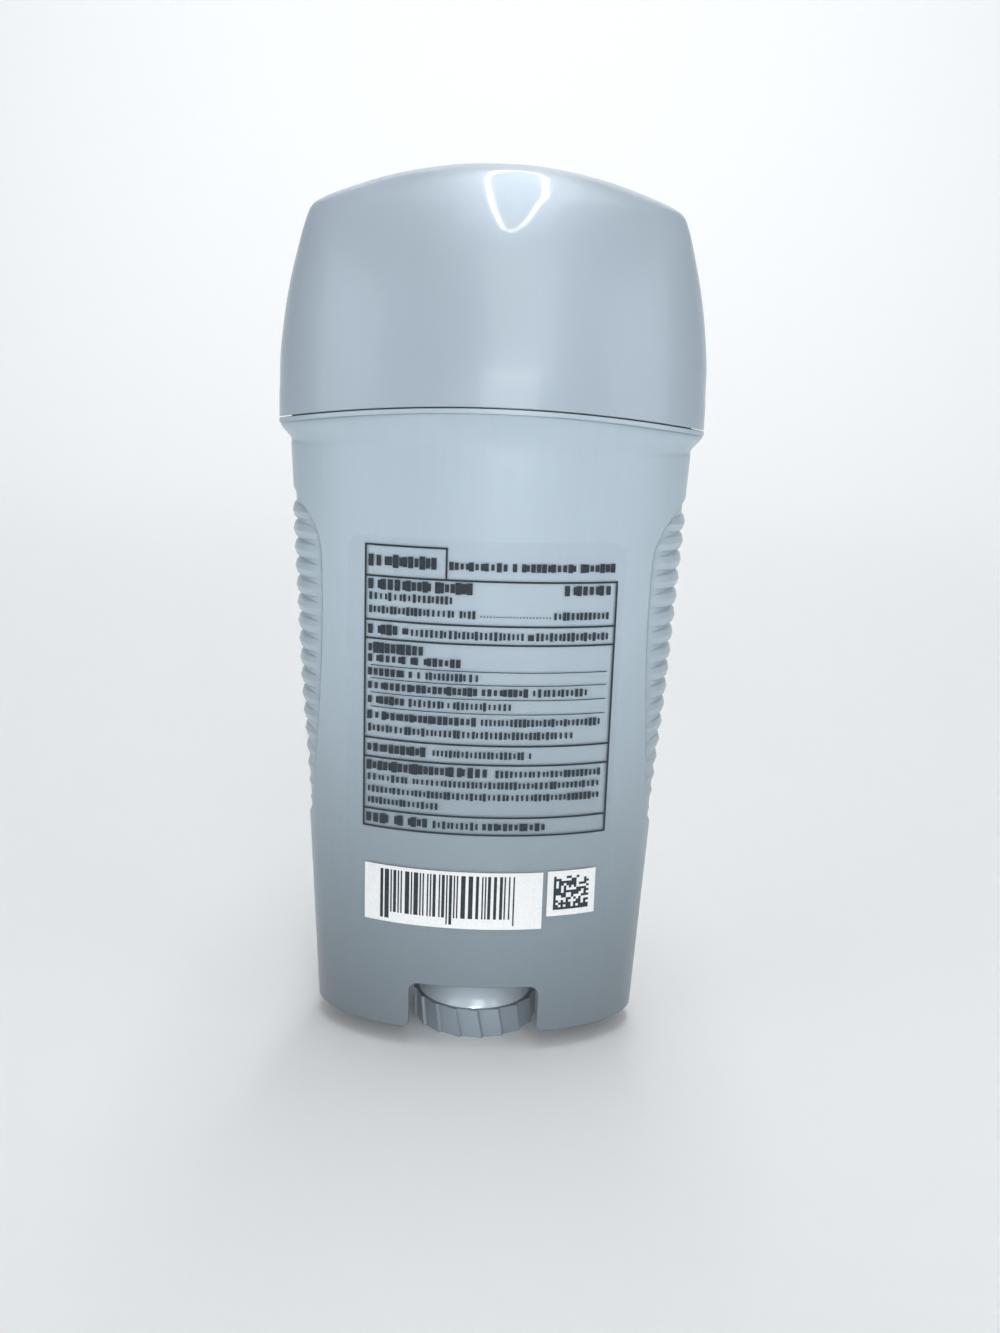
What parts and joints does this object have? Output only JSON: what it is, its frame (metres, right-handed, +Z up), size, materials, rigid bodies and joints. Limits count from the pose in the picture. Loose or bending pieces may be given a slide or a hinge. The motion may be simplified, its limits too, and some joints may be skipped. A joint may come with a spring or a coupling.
{
  "type": "deodorant stick",
  "caption": "Oval twist-up deodorant stick with a domed pull-off cap, tapered barrel with ribbed side grips and a ratchet-edged dial.",
  "frame": {"origin": "centre of the dial's underside, where the stick stands", "axes": "+Z up along the stick's long axis, +X along the oval's width, -Y out of the wide printed face"},
  "size_m": [0.065, 0.0366, 0.135],
  "materials": {
    "cap": "satin",
    "barrel": "satin",
    "dial": "satin",
    "elevator": "natural",
    "product": "waxy",
    "film": "clear"
  },
  "bodies": {
    "barrel": {"barrel": "barrel", "back_label": "film"},
    "cap": {"cap": "cap"},
    "dial": {"dial_screw": "dial"},
    "carrier": {"elevator": "elevator", "stick": "product"}
  },
  "joints": [
    {"name": "cap_lift", "type": "slide", "parent": "barrel", "child": "cap", "axis": [0, 0, 1], "range_m": [0, 0.06]},
    {"name": "dial_turn", "type": "hinge", "parent": "barrel", "child": "dial", "pos_m": [0, 0, 0], "axis": [0, 0, 1], "range_deg": [-1172, 5492]},
    {"name": "elevator_rise", "type": "slide", "parent": "barrel", "child": "carrier", "axis": [0, 0, 1], "range_m": [-0.061, 0.013]}
  ],
  "couplings": [
    {"joint": "dial_turn", "follows": "elevator_rise", "rad_per_m": -1570.8}
  ]
}
